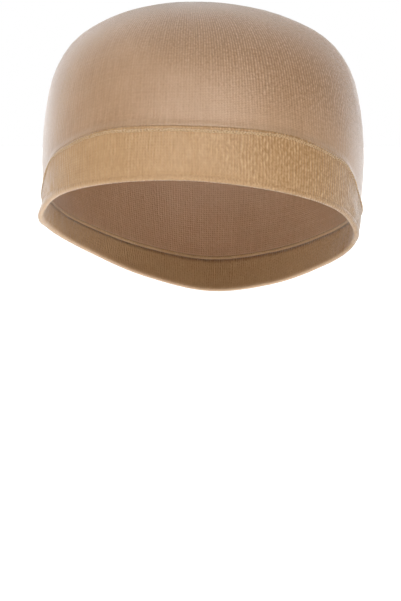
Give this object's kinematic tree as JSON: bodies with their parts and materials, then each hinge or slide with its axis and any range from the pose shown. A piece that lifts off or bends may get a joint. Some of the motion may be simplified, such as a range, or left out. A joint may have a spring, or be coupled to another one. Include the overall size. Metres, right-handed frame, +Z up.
{
  "type": "wig cap",
  "caption": "Stretch knit wig cap in its worn form: thin sheer dome over a doubled knit band with a linking seam and a folded lower edge, open underneath.",
  "frame": {"origin": "middle of the opening at the height of the front rim, where a head sits in the cap", "axes": "+Z up through the crown, -Y to the front of the cap, +X to the right of someone who looks at its front"},
  "size_m": [0.1519, 0.191, 0.1442],
  "materials": {
    "crown_knit": "single-ply sheer nylon jersey, light tan",
    "linking_yarn": "linked nylon loops, pale tan",
    "band_knit": "doubled nylon rib knit, yellower tan"
  },
  "bodies": {
    "root": {"crown": "crown_knit", "linking_seam": "linking_yarn", "band": "band_knit"}
  },
  "joints": []
}
